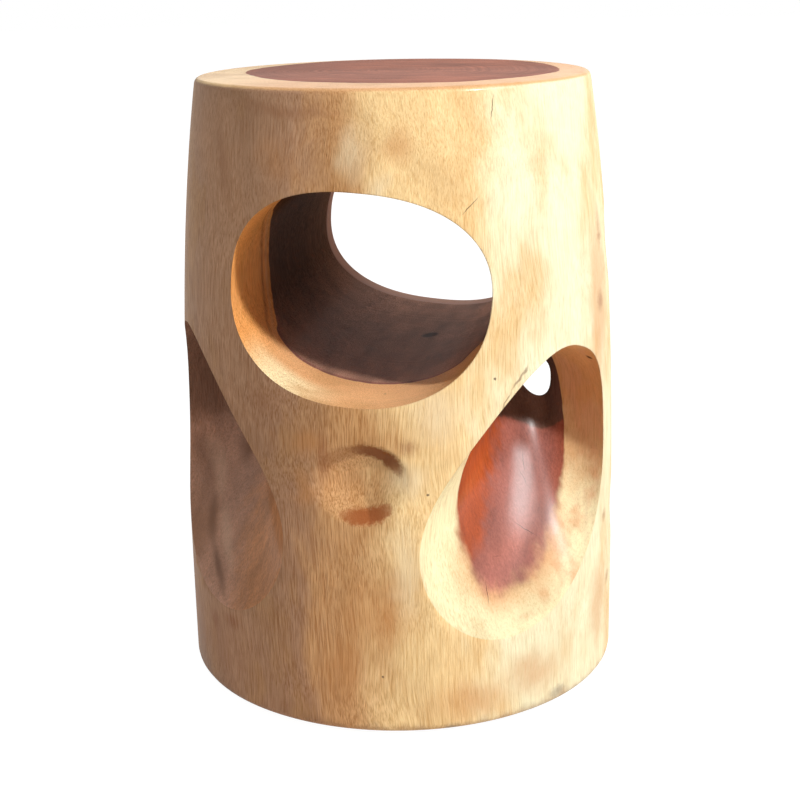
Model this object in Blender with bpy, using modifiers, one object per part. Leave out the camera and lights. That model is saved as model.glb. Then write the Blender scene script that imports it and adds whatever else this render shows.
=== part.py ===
"""Stool carved from one short length of tree trunk.

The trunk stands upright along Z. A large oval tunnel goes through its upper half
along Y. Below it, four deep pockets are scooped into the sides, mirrored left to
right and front to back, and each front pocket breaks into the rear pocket beside it.
Four plastic glides are let into the base, each held by one countersunk screw.
The origin is on the floor, at the middle of the trunk. Lengths are in metres.
"""

import math

import bmesh
import bpy
from mathutils import Matrix, Vector

MM = 0.001
GROUP_NAME = "carved_log_stool"

# Trunk
SEAT_HEIGHT = 450 * MM
TRUNK_RADIUS = 165 * MM
BASE_LIFT = 2.5 * MM
SEAT_EDGE_RADIUS = 4 * MM
BASE_EDGE_RADIUS = 6 * MM
TRUNK_STEPS = 80
EDGE_STEPS = 3
# Height as a share of the seat height, radius as a share of the trunk radius,
# from the seat down to the floor.
TRUNK_OUTLINE_SHARES = (
    (1.0, 0.868),
    (0.967, 0.879),
    (0.911, 0.899),
    (0.8, 0.934),
    (0.644, 0.968),
    (0.489, 0.989),
    (0.356, 0.996),
    (0.222, 1.0),
    (0.111, 1.0),
    (0.044, 0.998),
    (0.0, 0.996),
)

# Tunnel through the upper half, along Y
TUNNEL_HALF_WIDTH = 90 * MM
TUNNEL_HALF_HEIGHT = 71 * MM
TUNNEL_CENTRE_HEIGHT = 314.5 * MM
TUNNEL_OFFSET = 4 * MM
TUNNEL_LEAN = math.radians(5)
TUNNEL_RISE = math.radians(0.5)
TUNNEL_SQUARENESS = 2.3
TUNNEL_SEGMENTS = 56

# Scooped pockets. Each is an egg-shaped bowl whose axis points out of the trunk and down.
# The half width and half length are those of a reference ring near the bark. The bottom
# of a front bowl lies past the middle of the trunk by the overlap, and so does that of
# the rear bowl beside it, which opens a small window between them.
POCKET_AZIMUTH = math.radians(58.6)
POCKET_RING_RADIUS = 165 * MM
POCKET_RING_HEIGHT = 201 * MM
LEFT_POCKET_RAISE = 8 * MM
POCKET_FACING = math.radians(25)
POCKET_DIP = math.radians(17.5)
POCKET_LEAN = math.radians(16.5)
POCKET_HALF_WIDTH = 64 * MM
POCKET_HALF_LENGTH = 81 * MM
POCKET_OVERLAP = 6.5 * MM
POCKET_REACH = 95 * MM
POCKET_EGG_SHARE = 0.32
POCKET_SQUARENESS = 2.5
POCKET_BOWL_POWER = 0.65
POCKET_FLARE_SHARE = 0.1
POCKET_FLARE_POWER = 3
POCKET_SEGMENTS = 44
POCKET_RINGS = 26

# Shallow dimples sanded into the outside, one at the front and two on the right
DIMPLE_CURVE_RADIUS = 60 * MM
FRONT_DIMPLE_HEIGHT = 188 * MM
FRONT_DIMPLE_HALF_WIDTH = 38 * MM
FRONT_DIMPLE_HALF_HEIGHT = 27 * MM
FRONT_DIMPLE_DEPTH = 5 * MM
FRONT_DIMPLE_AZIMUTH = math.radians(1)
SIDE_DIMPLE_AZIMUTH = math.radians(95)
SIDE_DIMPLE_HALF_WIDTH = 20 * MM
SIDE_DIMPLE_DEPTH = 4 * MM
UPPER_DIMPLE_HEIGHT = 325 * MM
UPPER_DIMPLE_HALF_HEIGHT = 27 * MM
LOWER_DIMPLE_HEIGHT = 122 * MM
LOWER_DIMPLE_HALF_HEIGHT = 24 * MM
DIMPLE_SEGMENTS = 24
DIMPLE_RINGS = 32

# Floor glides
GLIDE_COUNT = 4
GLIDE_CIRCLE_RADIUS = 125 * MM
GLIDE_RADIUS = 12 * MM
GLIDE_THICKNESS = 5.5 * MM
GLIDE_EDGE_RADIUS = 1.2 * MM
GLIDE_STEPS = 24
GLIDE_EDGE_STEPS = 2

# Countersunk screws
SCREW_HEAD_RADIUS = 3.6 * MM
SCREW_HEAD_HEIGHT = 2.4 * MM
SCREW_SHANK_RADIUS = 1.75 * MM
SCREW_LENGTH = 20 * MM
SCREW_POINT_LENGTH = 3 * MM
SCREW_HEAD_RECESS = 0.8 * MM
SCREW_STEPS = 16
DRIVE_RADIUS = 1.5 * MM
DRIVE_DEPTH = 1.2 * MM
DRIVE_SIDES = 6

# Fits
FIT_GAP = 0.3 * MM
OVERRUN = 20 * MM
MERGE_DISTANCE = 0.02 * MM
UNIT_TOLERANCE = 1e-4

# Finishes: colour, roughness, metallic
WOOD_FINISH = ((0.66, 0.41, 0.19), 0.38, 0.0)
GLIDE_FINISH = ((0.05, 0.045, 0.04), 0.55, 0.0)
SCREW_FINISH = ((0.62, 0.62, 0.6), 0.32, 1.0)


def clear_scene():
    """Remove every object that the file opened with."""
    for thing in list(bpy.data.objects):
        bpy.data.objects.remove(thing, do_unlink=True)


def new_collection(name):
    """Add an empty collection to the scene."""
    collection = bpy.data.collections.new(name)
    bpy.context.scene.collection.children.link(collection)
    return collection


def new_material(name, finish):
    """Make a plain material from a colour, a roughness and a metallic value."""
    colour, roughness, metallic = finish
    material = bpy.data.materials.new(name)
    material.use_nodes = True
    shader = material.node_tree.nodes["Principled BSDF"]
    shader.inputs["Base Color"].default_value = (*colour, 1.0)
    shader.inputs["Roughness"].default_value = roughness
    shader.inputs["Metallic"].default_value = metallic
    return material


def place_mesh(name, mesh, collection, finish=None):
    """Put a mesh in the scene as a named object, with its own material if it has a finish."""
    thing = bpy.data.objects.new(name, mesh)
    collection.objects.link(thing)
    if finish:
        mesh.materials.append(new_material(name + "_finish", finish))
    return thing


def as_cutter(thing):
    """Mark an object as a guide that only cuts others."""
    thing.hide_render = True
    thing.display_type = "WIRE"
    return thing


def cut(thing, cutter):
    """Subtract a cutter from an object."""
    boolean = thing.modifiers.new("cut_" + cutter.name, "BOOLEAN")
    boolean.operation = "DIFFERENCE"
    boolean.solver = "EXACT"
    boolean.object = cutter


def turned(name, outline, steps, collection, finish=None, closed=False):
    """Turn an outline of radius and height about Z. The outline runs down its outer side."""
    mesh = bpy.data.meshes.new(name)
    points = [(radius, 0.0, height) for radius, height in outline]
    edges = [(index, index + 1) for index in range(len(points) - 1)]
    if closed:
        edges.append((len(points) - 1, 0))
    mesh.from_pydata(points, edges, [])
    thing = place_mesh(name, mesh, collection, finish)
    screw = thing.modifiers.new("turn", "SCREW")
    screw.axis = "Z"
    screw.steps = steps
    screw.render_steps = steps
    screw.use_merge_vertices = True
    screw.merge_threshold = MERGE_DISTANCE
    screw.use_smooth_shade = True
    return thing


def quarter_arc(centre_radius, centre_height, edge_radius, start, steps):
    """Points of a quarter circle that turns downwards from the angle start."""
    points = []
    for step in range(steps + 1):
        angle = start - math.pi / 2 * step / steps
        radius = centre_radius + edge_radius * math.cos(angle)
        height = centre_height + edge_radius * math.sin(angle)
        points.append((radius, height))
    return points


def trunk_radius_at(height):
    """Radius of the outside of the trunk at a height, between the outline's points."""
    share = height / SEAT_HEIGHT
    pairs = zip(TRUNK_OUTLINE_SHARES, TRUNK_OUTLINE_SHARES[1:])
    for (upper, upper_radius), (lower, lower_radius) in pairs:
        if share >= lower:
            blend = (share - lower) / (upper - lower)
            return TRUNK_RADIUS * (lower_radius + blend * (upper_radius - lower_radius))
    return TRUNK_RADIUS * TRUNK_OUTLINE_SHARES[-1][1]


def trunk_outline():
    """Outline of the trunk from the middle of the seat to the middle of the base."""
    seat_edge = trunk_radius_at(SEAT_HEIGHT - SEAT_EDGE_RADIUS) - SEAT_EDGE_RADIUS
    base_top = BASE_LIFT + BASE_EDGE_RADIUS
    base_edge = trunk_radius_at(base_top) - BASE_EDGE_RADIUS
    outline = [(0.0, SEAT_HEIGHT)]
    outline += quarter_arc(
        seat_edge, SEAT_HEIGHT - SEAT_EDGE_RADIUS, SEAT_EDGE_RADIUS, math.pi / 2, EDGE_STEPS
    )
    for height_share, radius_share in TRUNK_OUTLINE_SHARES:
        height = SEAT_HEIGHT * height_share
        if base_top < height < SEAT_HEIGHT - SEAT_EDGE_RADIUS:
            outline.append((TRUNK_RADIUS * radius_share, height))
    outline += quarter_arc(base_edge, base_top, BASE_EDGE_RADIUS, 0.0, EDGE_STEPS)
    outline.append((0.0, BASE_LIFT))
    return outline


def squared(cosine, sine, squareness):
    """Move a point of the unit circle on to a rounder or squarer oval of unit size."""
    power = 2 / squareness
    across = math.copysign(abs(cosine) ** power, cosine)
    along = math.copysign(abs(sine) ** power, sine)
    return across, along


def tunnel_cutter(collection):
    """Long oval bar along Y that cuts the tunnel."""
    shape = bmesh.new()
    bmesh.ops.create_cone(
        shape,
        cap_ends=True,
        segments=TUNNEL_SEGMENTS,
        radius1=1,
        radius2=1,
        depth=2 * (TRUNK_RADIUS + OVERRUN),
    )
    for vertex in shape.verts:
        across, along = squared(vertex.co.x, vertex.co.y, TUNNEL_SQUARENESS)
        vertex.co.x = TUNNEL_HALF_WIDTH * across
        vertex.co.y = TUNNEL_HALF_HEIGHT * along
    mesh = bpy.data.meshes.new("tunnel_cutter")
    shape.to_mesh(mesh)
    shape.free()
    cutter = as_cutter(place_mesh("tunnel_cutter", mesh, collection))
    turn = Matrix.Rotation(math.pi / 2 + TUNNEL_RISE, 4, "X") @ Matrix.Rotation(-TUNNEL_LEAN, 4, "Z")
    cutter.matrix_world = Matrix.Translation((TUNNEL_OFFSET, 0.0, TUNNEL_CENTRE_HEIGHT)) @ turn
    return cutter


def pocket_depth():
    """Depth of the bowl below its reference ring, measured along its own axis."""
    to_middle = POCKET_RING_RADIUS * math.cos(POCKET_AZIMUTH) + POCKET_OVERLAP
    return to_middle / (math.cos(POCKET_FACING) * math.cos(POCKET_DIP))


def pocket_size_at(rise_share):
    """Size of the bowl against its reference ring, at a share of its depth from the bottom."""
    bowl = (1 - POCKET_FLARE_SHARE) * rise_share ** POCKET_BOWL_POWER
    flare = POCKET_FLARE_SHARE * rise_share ** POCKET_FLARE_POWER
    return bowl + flare


def pocket_mesh():
    """Egg-shaped bowl whose axis is Z, with the middle of its reference ring at the origin."""
    depth = pocket_depth()
    shape = bmesh.new()
    bmesh.ops.create_uvsphere(
        shape, u_segments=POCKET_SEGMENTS, v_segments=POCKET_RINGS, radius=1
    )
    for vertex in shape.verts:
        turn = math.atan2(vertex.co.y, vertex.co.x)
        across, along = squared(math.cos(turn), math.sin(turn), POCKET_SQUARENESS)
        rise = (1 + vertex.co.z) / 2 * (depth + POCKET_REACH)
        size = 0.0
        if math.hypot(vertex.co.x, vertex.co.y) > UNIT_TOLERANCE:
            size = pocket_size_at(rise / depth)
        narrowing = 1 - POCKET_EGG_SHARE * size * along
        vertex.co.x = POCKET_HALF_WIDTH * size * across * narrowing
        vertex.co.y = POCKET_HALF_LENGTH * size * along
        vertex.co.z = rise - depth
    mesh = bpy.data.meshes.new("pocket_cutter")
    shape.to_mesh(mesh)
    shape.free()
    return mesh


def pocket_axes():
    """Axes of the right front pocket: across, along and out of the trunk."""
    flat = math.cos(POCKET_DIP)
    out = Vector((
        math.sin(POCKET_FACING) * flat,
        -math.cos(POCKET_FACING) * flat,
        -math.sin(POCKET_DIP),
    ))
    level = Vector((math.cos(POCKET_FACING), math.sin(POCKET_FACING), 0.0))
    steep = out.cross(level)
    across = math.cos(POCKET_LEAN) * level - math.sin(POCKET_LEAN) * steep
    along = math.sin(POCKET_LEAN) * level + math.cos(POCKET_LEAN) * steep
    return across, along, out


def pocket_cutters(collection):
    """Four bowls: the right front one, and its mirror images across X and Y."""
    across, along, out = pocket_axes()
    turn = Matrix((across, along, out)).transposed().to_4x4()
    cutters = []
    for side, side_name, raise_by in ((1, "right", 0.0), (-1, "left", LEFT_POCKET_RAISE)):
        place = Matrix.Translation((
            POCKET_RING_RADIUS * math.sin(POCKET_AZIMUTH),
            -POCKET_RING_RADIUS * math.cos(POCKET_AZIMUTH),
            POCKET_RING_HEIGHT + raise_by,
        ))
        for end, end_name in ((1, "front"), (-1, "rear")):
            mirror = Matrix.Diagonal((side, end, 1, 1))
            mesh = pocket_mesh()
            mesh.transform(mirror @ place @ turn)
            if side * end < 0:
                mesh.flip_normals()
            name = "_".join((side_name, end_name, "pocket_cutter"))
            cutters.append(as_cutter(place_mesh(name, mesh, collection)))
    return cutters


def dimple_cutter(name, azimuth, height, half_width, half_height, depth, collection):
    """Flat lens that sinks a shallow dimple into the outside of the trunk."""
    shape = bmesh.new()
    bmesh.ops.create_uvsphere(
        shape, u_segments=DIMPLE_SEGMENTS, v_segments=DIMPLE_RINGS, radius=1
    )
    reach = DIMPLE_CURVE_RADIUS
    surface = trunk_radius_at(height)
    # The lens is wider than the dimple, because only its tip is sunk in the wood.
    sunk_share = math.sqrt(1 - (1 - depth / reach) ** 2)
    fall = surface - math.sqrt(surface ** 2 - half_width ** 2)
    side_share = math.sqrt(1 - (1 - max(depth - fall, depth / 2) / reach) ** 2)
    bmesh.ops.scale(
        shape,
        vec=(half_width / side_share, half_height / sunk_share, reach),
        verts=shape.verts,
    )
    mesh = bpy.data.meshes.new(name)
    shape.to_mesh(mesh)
    shape.free()
    turn = Matrix.Rotation(azimuth, 4, "Z")
    out = Matrix.Translation((0.0, -(surface - depth + reach), height))
    upright = Matrix.Rotation(math.pi / 2, 4, "X")
    mesh.transform(turn @ out @ upright)
    return as_cutter(place_mesh(name, mesh, collection))


def dimple_cutters(collection):
    """One dimple on the front column, and two, one above the other, on the right one."""
    return [
        dimple_cutter(
            "front_dimple_cutter", FRONT_DIMPLE_AZIMUTH, FRONT_DIMPLE_HEIGHT,
            FRONT_DIMPLE_HALF_WIDTH, FRONT_DIMPLE_HALF_HEIGHT, FRONT_DIMPLE_DEPTH, collection,
        ),
        dimple_cutter(
            "upper_dimple_cutter", SIDE_DIMPLE_AZIMUTH, UPPER_DIMPLE_HEIGHT,
            SIDE_DIMPLE_HALF_WIDTH, UPPER_DIMPLE_HALF_HEIGHT, SIDE_DIMPLE_DEPTH, collection,
        ),
        dimple_cutter(
            "lower_dimple_cutter", SIDE_DIMPLE_AZIMUTH, LOWER_DIMPLE_HEIGHT,
            SIDE_DIMPLE_HALF_WIDTH, LOWER_DIMPLE_HALF_HEIGHT, SIDE_DIMPLE_DEPTH, collection,
        ),
    ]


def glide_places():
    """Middle of each glide on the floor, one under each pocket."""
    places = []
    for number in range(GLIDE_COUNT):
        angle = 2 * math.pi * (number + 0.5) / GLIDE_COUNT - math.pi / 2
        places.append((
            GLIDE_CIRCLE_RADIUS * math.cos(angle),
            GLIDE_CIRCLE_RADIUS * math.sin(angle),
            0.0,
        ))
    return places


def screw_outline(gap):
    """Outline of a screw that points up, grown all round by a gap, from tip to head."""
    head_bottom = SCREW_HEAD_RECESS
    head_top = head_bottom + SCREW_HEAD_HEIGHT
    tip = head_bottom + SCREW_LENGTH
    shank_end = tip - SCREW_POINT_LENGTH
    return [
        (0.0, tip + gap),
        (SCREW_SHANK_RADIUS + gap, shank_end + gap),
        (SCREW_SHANK_RADIUS + gap, head_top + gap),
        (SCREW_HEAD_RADIUS + gap, head_bottom + gap),
    ]


def screw_bore_cutter(name, place, collection):
    """Cutter for the bore and countersink that the screw passes through."""
    outline = screw_outline(FIT_GAP)
    mouth = outline[-1][0]
    outline += [(mouth, -OVERRUN), (0.0, -OVERRUN)]
    cutter = as_cutter(turned(name, outline, SCREW_STEPS, collection))
    cutter.location = place
    return cutter


def glide_seat_cutter(name, place, collection):
    """Cutter for the round recess in the base that the glide is let into."""
    radius = GLIDE_RADIUS + FIT_GAP
    top = GLIDE_THICKNESS + FIT_GAP
    outline = [(0.0, top), (radius, top), (radius, -OVERRUN), (0.0, -OVERRUN)]
    cutter = as_cutter(turned(name, outline, GLIDE_STEPS, collection))
    cutter.location = place
    return cutter


def build_glide(name, place, bore, collection):
    """Low plastic disc with an eased lower edge and a countersunk bore."""
    inner = GLIDE_RADIUS - GLIDE_EDGE_RADIUS
    outline = [(0.0, GLIDE_THICKNESS), (GLIDE_RADIUS, GLIDE_THICKNESS)]
    outline += quarter_arc(inner, GLIDE_EDGE_RADIUS, GLIDE_EDGE_RADIUS, 0.0, GLIDE_EDGE_STEPS)
    outline.append((0.0, 0.0))
    glide = turned(name, outline, GLIDE_STEPS, collection, GLIDE_FINISH)
    glide.location = place
    cut(glide, bore)
    return glide


def drive_cutter(name, place, collection):
    """Six-sided recess in the screw's head."""
    shape = bmesh.new()
    bmesh.ops.create_cone(
        shape,
        cap_ends=True,
        segments=DRIVE_SIDES,
        radius1=DRIVE_RADIUS,
        radius2=DRIVE_RADIUS,
        depth=2 * DRIVE_DEPTH,
    )
    mesh = bpy.data.meshes.new(name)
    shape.to_mesh(mesh)
    shape.free()
    cutter = as_cutter(place_mesh(name, mesh, collection))
    cutter.location = Vector(place) + Vector((0.0, 0.0, SCREW_HEAD_RECESS))
    return cutter


def build_screw(name, place, drive, collection):
    """Countersunk screw, head down, with a six-sided drive."""
    outline = screw_outline(0.0)
    outline.append((0.0, SCREW_HEAD_RECESS))
    screw = turned(name, outline, SCREW_STEPS, collection, SCREW_FINISH)
    screw.location = place
    cut(screw, drive)
    return screw


def build_log(cutters, collection):
    """The carved trunk, with the tunnel, pockets, dimples and glide seats cut out."""
    log = turned("carved_log", trunk_outline(), TRUNK_STEPS, collection, WOOD_FINISH)
    for cutter in cutters:
        cut(log, cutter)
    return log


def build_stool():
    """Model the whole stool."""
    clear_scene()
    parts = new_collection(GROUP_NAME)
    guides = new_collection("cutters")
    cutters = [tunnel_cutter(guides)] + pocket_cutters(guides) + dimple_cutters(guides)
    for number, place in enumerate(glide_places(), start=1):
        bore = screw_bore_cutter("bore_cutter_%d" % number, place, guides)
        drive = drive_cutter("drive_cutter_%d" % number, place, guides)
        cutters.append(glide_seat_cutter("glide_seat_cutter_%d" % number, place, guides))
        cutters.append(bore)
        build_glide("glide_%d" % number, place, bore, parts)
        build_screw("glide_screw_%d" % number, place, drive, parts)
    build_log(cutters, parts)


build_stool()
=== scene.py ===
"""Looks of the carved log stool: the wood's finish, the glides, the screws and the studio.

The log is modelled again here as one smooth carved body with eased rims, and its wood
shows pale sapwood outside and dark heartwood inside, as the tunnel and pockets cut them.
The file is laid out as an add-on with one operator for each group of pieces.
Lengths are in metres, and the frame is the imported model's own.
"""

import math
from types import SimpleNamespace

import bpy
from mathutils import Matrix, Vector


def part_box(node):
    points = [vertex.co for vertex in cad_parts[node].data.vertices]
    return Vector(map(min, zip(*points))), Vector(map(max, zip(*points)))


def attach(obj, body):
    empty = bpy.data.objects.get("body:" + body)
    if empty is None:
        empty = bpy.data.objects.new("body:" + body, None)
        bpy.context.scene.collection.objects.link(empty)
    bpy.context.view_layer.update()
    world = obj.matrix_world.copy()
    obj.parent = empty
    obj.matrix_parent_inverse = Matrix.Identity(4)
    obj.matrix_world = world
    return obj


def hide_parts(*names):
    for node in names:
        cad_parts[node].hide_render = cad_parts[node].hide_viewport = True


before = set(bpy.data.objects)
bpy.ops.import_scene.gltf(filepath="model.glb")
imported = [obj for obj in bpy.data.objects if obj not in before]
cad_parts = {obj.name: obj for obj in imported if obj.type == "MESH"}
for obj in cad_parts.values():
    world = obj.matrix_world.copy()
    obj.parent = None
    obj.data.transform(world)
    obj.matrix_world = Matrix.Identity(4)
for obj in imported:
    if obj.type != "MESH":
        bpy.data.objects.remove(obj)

bl_info = {
    "name": "Carved Log Stool",
    "version": (1, 0, 0),
    "blender": (4, 5, 0),
    "location": "3D View > Sidebar > Stool",
    "description": "Models and finishes a stool carved from one tree trunk",
    "category": "Object",
}

MM = 0.001
LOG_LOW, LOG_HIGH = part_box("carved_log")
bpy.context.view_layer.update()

# Outside of the trunk. Its radius falls from the widest part by the taper share at the seat.
TAPER_SHARE = 0.132
TAPER_POWER = 3.2
BASE_EASE = 6 * MM
SEAT_EASE = 4 * MM
TRUNK_SIDES = 192
TRUNK_RINGS = 40
EASE_STEPS = 4

# Carved surfaces, as in the solid model
TUNNEL_SQUARENESS = 2.3
TUNNEL_RISE = math.radians(0.5)
TUNNEL_SIDES = 192
POCKET_AZIMUTH = math.radians(58.6)
POCKET_RING_RADIUS = 165 * MM
POCKET_RING_HEIGHT = 201 * MM
LEFT_POCKET_RAISE = 8 * MM
POCKET_FACING = math.radians(25)
POCKET_DIP = math.radians(17.5)
POCKET_LEAN = math.radians(16.5)
POCKET_OVERLAP = 5 * MM
POCKET_REACH = 95 * MM
POCKET_EGG_SHARE = 0.32
POCKET_SQUARENESS = 2.5
POCKET_BOWL_POWER = 0.65
POCKET_FLARE_SHARE = 0.1
POCKET_FLARE_POWER = 3
POCKET_SIDES = 128
POCKET_RINGS = 96
OVERRUN = 20 * MM
UNIT_TOLERANCE = 1e-4
UPRIGHT_LIMIT = 0.5
OUTSIDE_TOLERANCE = 0.12 * MM
WALL_TOLERANCE_SHARE = 0.02
DIMPLE_MARGIN = 1.15
FAR_FROM_DIMPLE = 2.0

# Dimples: azimuth, height, half width, half height, depth, and the crisp parts of the rim,
# each with its direction seen from outside and its reach
DIMPLES = (
    (
        math.radians(2.8), 188 * MM, 37 * MM, 29 * MM, 9.5 * MM,
        ((math.radians(52), math.radians(62)), (math.radians(-78), math.radians(50))),
    ),
    (math.radians(95), 325 * MM, 20 * MM, 29 * MM, 4 * MM, ()),
    (math.radians(95), 122 * MM, 20 * MM, 26 * MM, 4 * MM, ()),
)
DIMPLE_CUTS = 5
CRISP_RIM_POWER = 0.6
SOFT_RIM_POWER = 1.9

# Glides and screws
GLIDE_COUNT = 4
GLIDE_CIRCLE_RADIUS = 125 * MM
GLIDE_SEAT_RADIUS = 12.3 * MM
GLIDE_SEAT_DEPTH = 5.8 * MM
SCREW_BORE_RADIUS = 2.05 * MM
SCREW_BORE_DEPTH = 21.1 * MM
BORE_SIDES = 64
SMOOTH_ANGLE = math.radians(40)
# Attributes that tell the wood which faces are carved walls
SURFACE_KINDS = ("tunnel_wall", "pocket_wall")

# Radius of the heartwood round the pith: azimuth in degrees, then the radius in millimetres
# at the seat, at the tunnel and low in the pockets. Azimuth 0 is the front, 90 the right side.
HEARTWOOD_OUTLINE = (
    (-180, 141, 150, 152),
    (-150, 136, 149, 152),
    (-125, 124, 144, 156),
    (-105, 118, 134, 158),
    (-90, 112, 120, 158),
    (-75, 104, 100, 157),
    (-64, 100, 97, 156),
    (-55, 99, 98, 155),
    (-48, 98, 101, 154),
    (-39, 98, 107, 153),
    (-32, 98, 106, 152),
    (-20, 98, 100, 153),
    (-10, 98, 97, 152),
    (6, 101, 97, 150),
    (20, 106, 99, 148),
    (31, 111, 103, 145),
    (37, 114, 103, 150),
    (45, 113, 95, 149),
    (51, 113, 92, 149),
    (59, 114, 93, 149.5),
    (66, 116, 94, 150.5),
    (72, 117, 98, 152),
    (78, 118, 106, 152),
    (84, 120, 112, 153.5),
    (88, 121, 115, 155),
    (110, 122, 136, 156),
    (135, 130, 147, 156),
    (160, 140, 150, 154),
    (180, 141, 150, 152),
)
# Heights at which the lowest outline holds, and above which the tunnel's does
HEART_LOW_HEIGHT = 100 * MM
HEART_TUNNEL_HEIGHT = 260 * MM
HEART_SEAT_FROM = 330 * MM
# Direction of the trunk's side towards the key lamp, where the sapwood is painted golden and pale as
# painted light
LIT_SIDE_AZIMUTH = math.radians(62)
LIT_SIDE = Vector((math.sin(LIT_SIDE_AZIMUTH), -math.cos(LIT_SIDE_AZIMUTH), 0))
# The heartwood's curves hold radii as shares of this length
RADIUS_SCALE = 0.2
# The heartwood never comes closer than this to the outside
HEART_LIMIT = 158 * MM
NOWHERE = (0.0, 0.0, 0.0)

# Marks that the photo shows in the wood, in millimetres. A spot is its middle, its half width,
# half height and depth, and where they aren't 0 its lean in degrees and the share that is
# fully dark.
DARK_SPOTS = (
    ((96.3, -129.6, 257.1), 1.3, 1.5, 5, 0, 0.3),
    ((54.4, -154.5, 180.7), 1.5, 1.3, 5, 0, 0.2),
    ((22.2, -163.5, 46.7), 1.2, 1.2, 5, 0, 0.2),
    ((19.3, -126.0, 243.6), 1.9, 2.4, 5, 0, 0.3),
    ((17.4, 39.0, 244.8), 7.0, 6.0, 11, 0, 0.5),
    ((150.7, -36.5, 250.1), 3.0, 2.0, 5, 0, 0.3),
    ((-48, 157, 186), 3.2, 4.2, 6, 10, 0.3),
)
BARK_SCARS = (
    ((110.8, -117.2, 254.5), 1.5, 14.5, 7, 42, 0.2),
    ((103.0, -124.0, 241.0), 1.1, 9.5, 6, 36, 0.1),
    ((114.5, -113.5, 259.5), 2.2, 5.0, 6, 40, 0.2),
)
RED_STAINS = (
    ((156.6, -30, 291), 11, 12, 12),
    ((158.0, -26, 345), 7, 26, 12),
    ((162, -28, 126), 9, 7, 12),
    ((164.5, -14.7, 72), 10, 8, 12),
    ((153.9, -25, 337), 9, 6, 12),
    ((-98, -133, 66), 14, 9, 12),
    ((-118, -117, 58), 9, 12, 12),
    ((-150, -66, 60), 8, 55, 14),
    ((42, -157, 214), 12, 9, 12),
    ((-16, -163, 205), 7, 30, 12),
)
GREY_SMUDGES = (
    ((136, -92, 11), 13, 7, 14),
    ((68, -149, 4.4), 10, 5, 12),
)
# Broad soft patches of tone in the sapwood outside, and one band of painted shade under the seat's rim
WARM_PATCHES = (
    ((-30, -160, 214), 26, 16, 25),
    ((-32, -160, 182), 12, 14, 25, 0, 0.1),
    ((20, -163, 90), 40, 42, 25, 12, 0.0),
    ((-48, -152, 405), 22, 26, 25, 20, 0.0),
    ((35, -146, 412), 16, 20, 25),
    ((80, -143, 24), 45, 20, 25),
    ((120, -112, 34), 40, 24, 30),
    ((-10, -163, 50), 22, 40, 25),
    ((160, -34, 296), 24, 80, 30, 0, 0.3),
    ((160, -40, 60), 24, 50, 30),
    ((40, 160, 90), 40, 70, 30, 8, 0.0),
    ((-70, 140, 380), 40, 50, 30, -10, 0.0),
)
PALE_PATCHES = (
    ((6, -148, 408), 14, 26, 25, 0, 0.1),
    ((62, -152, 235), 26, 34, 25, -35, 0.0),
    ((24, -148, 385), 12, 16, 25),
    ((38, -160, 128), 16, 52, 25),
    ((40, -160, 190), 20, 18, 25),
    ((60, 148, 400), 34, 36, 30),
    ((-20, 163, 150), 26, 80, 30, 6, 0.0),
)
BROWN_AND_RIM_SHADE_PATCHES = (
    ((-112, -118, 40), 40, 40, 30),
    ((-92, -118, 400), 9, 46, 25, -16, 0.0),
    ((-148, -70, 90), 30, 120, 30, 0, 0.1),
    ((-140, -88, 48), 34, 50, 30, 0, 0.2),
    ((-62, -152, 240), 20, 16, 25),
    # Painted shade: a band just under the seat's rim at the front left, from the rim's rounding
    ((-45, -137, 437), 60, 8, 30),
    ((-60, 152, 40), 50, 40, 30),
    ((20, 160, 230), 30, 26, 30, 20, 0.0),
)
# A crack or streak is its two ends, its half width and depth, and the share that is fully dark
CRACKS = (
    ((91.8, -108.4, 447.3), (90.2, -115.2, 424.2), 0.45, 7, 0.3),
    ((85.8, -125.1, 380.1), (73.5, -134.3, 366.9), 0.5, 7, 0.3),
    ((98.6, -76.2, 136.0), (119.9, -70.7, 122.1), 0.5, 7, 0.3),
    ((86.7, -116.0, 106.3), (91.9, -125.9, 86.5), 0.4, 7, 0.3),
    ((96, -42, 165), (108, -50, 152), 0.35, 7, 0.3),
    ((100, -30, 178), (104, -46, 158), 0.35, 7, 0.3),
    ((88, -100, 118), (96, -96, 116), 0.35, 7, 0.3),
    ((52, 154, 62), (47, 158, 8), 0.5, 7, 0.3),
    ((-34, 144, 444), (-38, 149, 396), 0.5, 7, 0.3),
)
# Streaks in the left front pocket: dark streaks, and light streaks that are a painted highlight
DARK_STREAKS = (
    ((-157, -20, 186), (-139, -60, 128), 7, 14, 0.1),
    ((-146, -42, 150), (-122, -98, 95), 6, 14, 0.1),
    ((-132, -78, 114), (-100, -130, 74), 5, 14, 0.1),
    ((-124, -22, 186), (-103, -58, 154), 12, 14, 0.1),
)
PAINTED_HIGHLIGHT_STREAKS = (
    ((-150, -18, 180), (-122, -70, 126), 7, 14, 0.1),
    ((-130, -54, 141), (-97, -124, 88), 8, 14, 0.1),
)
# Marks of one kind, their colour and their strength
STREAKS = (
    (DARK_STREAKS, (0.21, 0.095, 0.05), 0.65),
    (PAINTED_HIGHLIGHT_STREAKS, (0.9, 0.58, 0.4), 0.5),
)
PATCHES = (
    (WARM_PATCHES, (0.62, 0.27, 0.09), 0.55),
    (PALE_PATCHES, (0.93, 0.74, 0.47), 0.6),
    (BROWN_AND_RIM_SHADE_PATCHES, (0.42, 0.19, 0.09), 0.5),
)
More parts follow.
